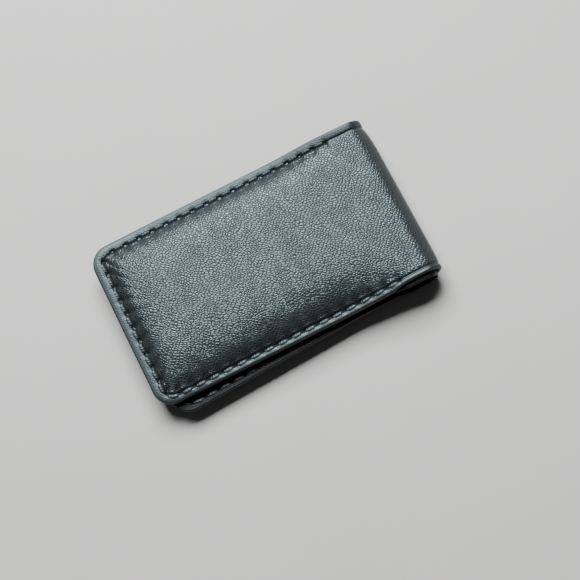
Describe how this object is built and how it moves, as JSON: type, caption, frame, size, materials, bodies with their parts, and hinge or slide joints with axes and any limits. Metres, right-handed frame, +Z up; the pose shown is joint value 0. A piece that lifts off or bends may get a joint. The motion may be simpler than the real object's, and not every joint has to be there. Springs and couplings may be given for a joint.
{
  "type": "magnetic money clip",
  "caption": "Black leather magnetic money clip: one padded, stitched strip folded over banknotes, with two crowned leaves held shut by hidden magnets.",
  "frame": {"origin": "on the resting surface, under the middle of the closed clip", "axes": "+X from the free ends towards the fold, +Y to the far long edge along the fold's axis, +Z up, from the lower leaf to the upper leaf"},
  "size_m": [0.0754, 0.0461, 0.01],
  "materials": {
    "outer_leather": "satin",
    "lining_leather": "matte",
    "foam": "matte",
    "board": "matte",
    "magnet": "satin",
    "thread": "satin"
  },
  "bodies": {
    "lower_leaf": {"outer_leather_lower": "outer_leather", "lining_lower": "lining_leather", "foam_pad_lower": "foam", "board_lower": "board", "magnet_lower_left": "magnet", "magnet_lower_right": "magnet", "needle_thread_lower": "thread", "bobbin_thread_lower": "thread"},
    "fold_1": {"outer_leather_fold_1": "outer_leather", "lining_fold_1": "lining_leather"},
    "fold_2": {"outer_leather_fold_2": "outer_leather", "lining_fold_2": "lining_leather"},
    "fold_3": {"outer_leather_fold_3": "outer_leather", "lining_fold_3": "lining_leather"},
    "upper_leaf": {"outer_leather_upper": "outer_leather", "lining_upper": "lining_leather", "foam_pad_upper": "foam", "board_upper": "board", "magnet_upper_left": "magnet", "magnet_upper_right": "magnet", "needle_thread_upper": "thread", "bobbin_thread_upper": "thread"}
  },
  "joints": [
    {"name": "fold_hinge_1", "type": "hinge", "parent": "lower_leaf", "child": "fold_1", "pos_m": [0.03485, 0, 0.00075], "axis": [0, 1, 0], "range_deg": [0, 45], "stiffness_Nm_per_rad": 0.02, "springref_deg": -28.65},
    {"name": "fold_hinge_2", "type": "hinge", "parent": "fold_1", "child": "fold_2", "pos_m": [0.03734, 0, 0.00324], "axis": [0, 1, 0], "range_deg": [0, 45]},
    {"name": "fold_hinge_3", "type": "hinge", "parent": "fold_2", "child": "fold_3", "pos_m": [0.03734, 0, 0.00676], "axis": [0, 1, 0], "range_deg": [0, 45]},
    {"name": "fold_hinge_4", "type": "hinge", "parent": "fold_3", "child": "upper_leaf", "pos_m": [0.03485, 0, 0.00925], "axis": [0, 1, 0], "range_deg": [0, 45]}
  ],
  "couplings": [
    {"joint": "fold_hinge_2", "follows": "fold_hinge_1", "ratio": 1},
    {"joint": "fold_hinge_3", "follows": "fold_hinge_1", "ratio": 1},
    {"joint": "fold_hinge_4", "follows": "fold_hinge_1", "ratio": 1}
  ]
}
